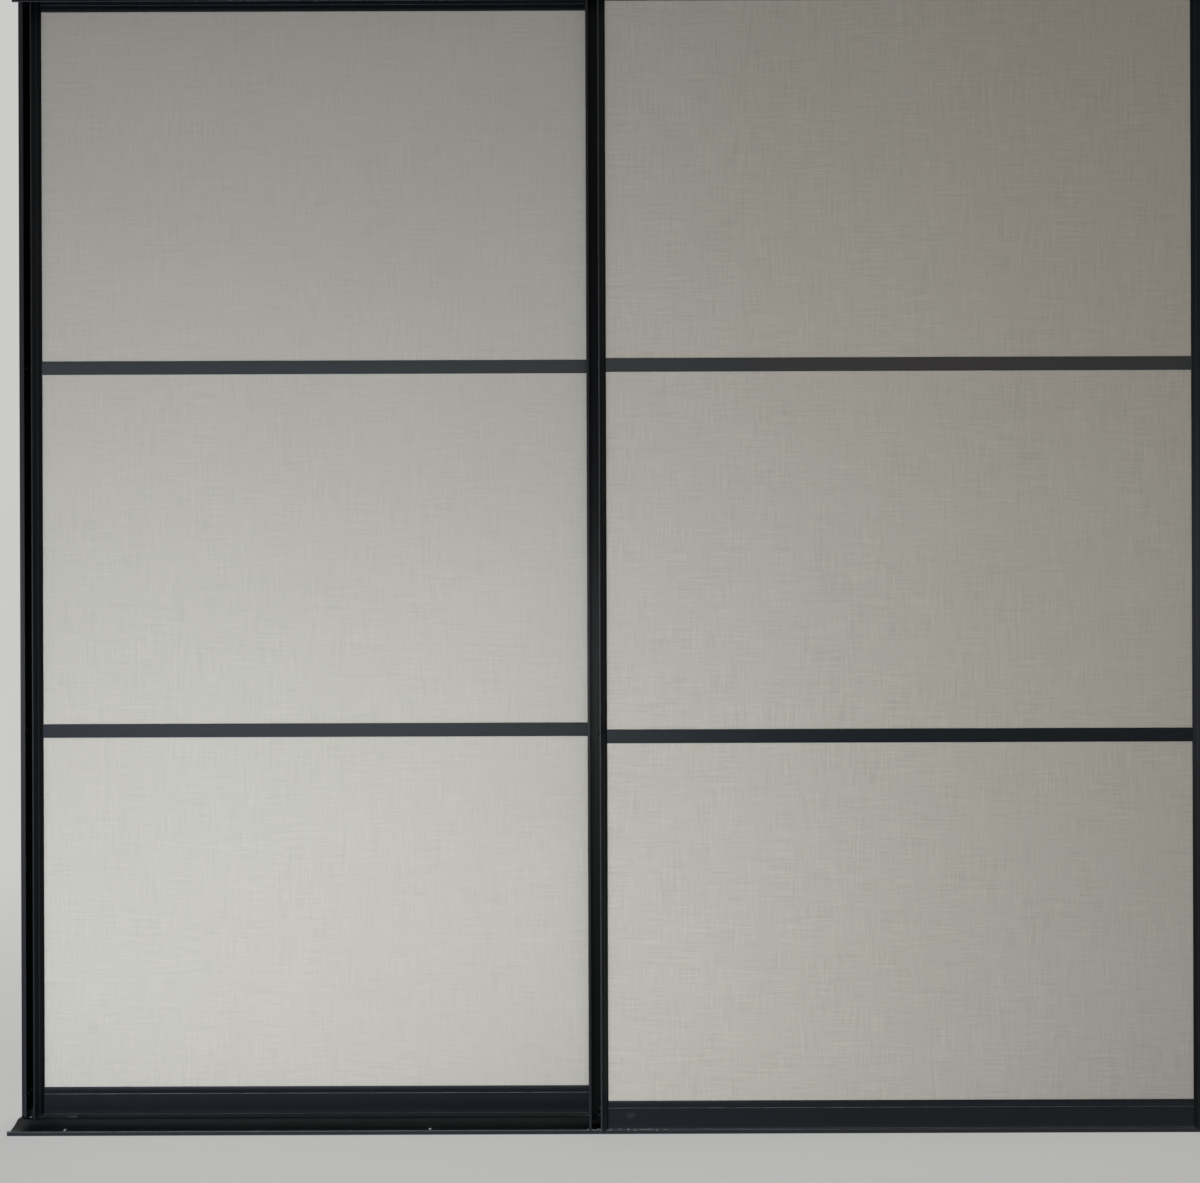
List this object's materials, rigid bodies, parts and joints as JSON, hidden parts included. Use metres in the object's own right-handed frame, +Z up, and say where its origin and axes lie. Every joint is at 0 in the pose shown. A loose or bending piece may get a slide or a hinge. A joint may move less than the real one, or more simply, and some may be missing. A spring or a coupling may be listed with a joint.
{
  "type": "pair of sliding wardrobe doors",
  "caption": "Framed sliding wardrobe doors that pass each other on a double lower track, with guide track, side jambs, rollers, plain laminate boards and finger-pull stiles.",
  "frame": {"origin": "on the floor under the middle of the lower track, centred across the width and depth", "axes": "+X to the right along the tracks, -Y to the room side that the picture shows, +Z up"},
  "size_m": [2.304, 0.0926, 2.21],
  "materials": {
    "black_aluminium": "satin black powder coat",
    "laminate": "greige linen-look laminate on board, fine cross-hatch",
    "steel": "zinc-plated",
    "screw_steel": "blackened, satin",
    "nylon": "natural nylon",
    "black_nylon": "black nylon",
    "buffer_rubber": "matt",
    "pile": "woven pile strip, matt dark grey"
  },
  "bodies": {
    "frame": {"bottom_track": "black_aluminium", "top_track": "black_aluminium", "left_jamb": "black_aluminium", "right_jamb": "black_aluminium", "left_jamb_seal": "pile", "right_jamb_seal": "pile", "rear_stop": "black_nylon", "front_stop": "black_nylon", "rear_stop_buffer": "buffer_rubber", "front_stop_buffer": "buffer_rubber", "stop_screws": "steel"},
    "rear_door": {"rear_left_stile": "black_aluminium", "rear_right_stile": "black_aluminium", "rear_bottom_rail": "black_aluminium", "rear_lower_mid_rail": "black_aluminium", "rear_upper_mid_rail": "black_aluminium", "rear_top_rail": "black_aluminium", "rear_bottom_panel": "laminate", "rear_middle_panel": "laminate", "rear_top_panel": "laminate", "rear_left_roller_carriage": "steel", "rear_right_roller_carriage": "steel", "rear_wheel_axles": "steel", "rear_adjusting_screws": "screw_steel", "rear_left_top_guide": "black_nylon", "rear_right_top_guide": "black_nylon", "rear_assembly_screws": "screw_steel", "rear_guide_screws": "steel"},
    "rear_left_roller": {"rear_left_wheel": "nylon", "rear_left_wheel_bearing": "steel"},
    "rear_right_roller": {"rear_right_wheel": "nylon", "rear_right_wheel_bearing": "steel"},
    "front_door": {"front_left_stile": "black_aluminium", "front_right_stile": "black_aluminium", "front_bottom_rail": "black_aluminium", "front_lower_mid_rail": "black_aluminium", "front_upper_mid_rail": "black_aluminium", "front_top_rail": "black_aluminium", "front_bottom_panel": "laminate", "front_middle_panel": "laminate", "front_top_panel": "laminate", "front_left_roller_carriage": "steel", "front_right_roller_carriage": "steel", "front_wheel_axles": "steel", "front_adjusting_screws": "screw_steel", "front_left_top_guide": "black_nylon", "front_right_top_guide": "black_nylon", "front_assembly_screws": "screw_steel", "front_guide_screws": "steel", "front_meeting_seal": "pile"},
    "front_left_roller": {"front_left_wheel": "nylon", "front_left_wheel_bearing": "steel"},
    "front_right_roller": {"front_right_wheel": "nylon", "front_right_wheel_bearing": "steel"}
  },
  "joints": [
    {"name": "rear_door_slide", "type": "slide", "parent": "frame", "child": "rear_door", "axis": [1, 0, 0], "range_m": [0, 1.0805]},
    {"name": "front_door_slide", "type": "slide", "parent": "frame", "child": "front_door", "axis": [1, 0, 0], "range_m": [-1.0805, 0]},
    {"name": "rear_left_roller_spin", "type": "hinge", "parent": "rear_door", "child": "rear_left_roller", "pos_m": [-1.054, 0.0312, 0.0203], "axis": [0, 1, 0], "continuous": true},
    {"name": "rear_right_roller_spin", "type": "hinge", "parent": "rear_door", "child": "rear_right_roller", "pos_m": [-0.044, 0.0312, 0.0203], "axis": [0, 1, 0], "continuous": true},
    {"name": "front_left_roller_spin", "type": "hinge", "parent": "front_door", "child": "front_left_roller", "pos_m": [0.044, -0.0138, 0.0203], "axis": [0, 1, 0], "continuous": true},
    {"name": "front_right_roller_spin", "type": "hinge", "parent": "front_door", "child": "front_right_roller", "pos_m": [1.054, -0.0138, 0.0203], "axis": [0, 1, 0], "continuous": true}
  ],
  "couplings": [
    {"joint": "rear_left_roller_spin", "follows": "rear_door_slide", "rad_per_m": 55.556},
    {"joint": "rear_right_roller_spin", "follows": "rear_door_slide", "rad_per_m": 55.556},
    {"joint": "front_left_roller_spin", "follows": "front_door_slide", "rad_per_m": 55.556},
    {"joint": "front_right_roller_spin", "follows": "front_door_slide", "rad_per_m": 55.556}
  ]
}
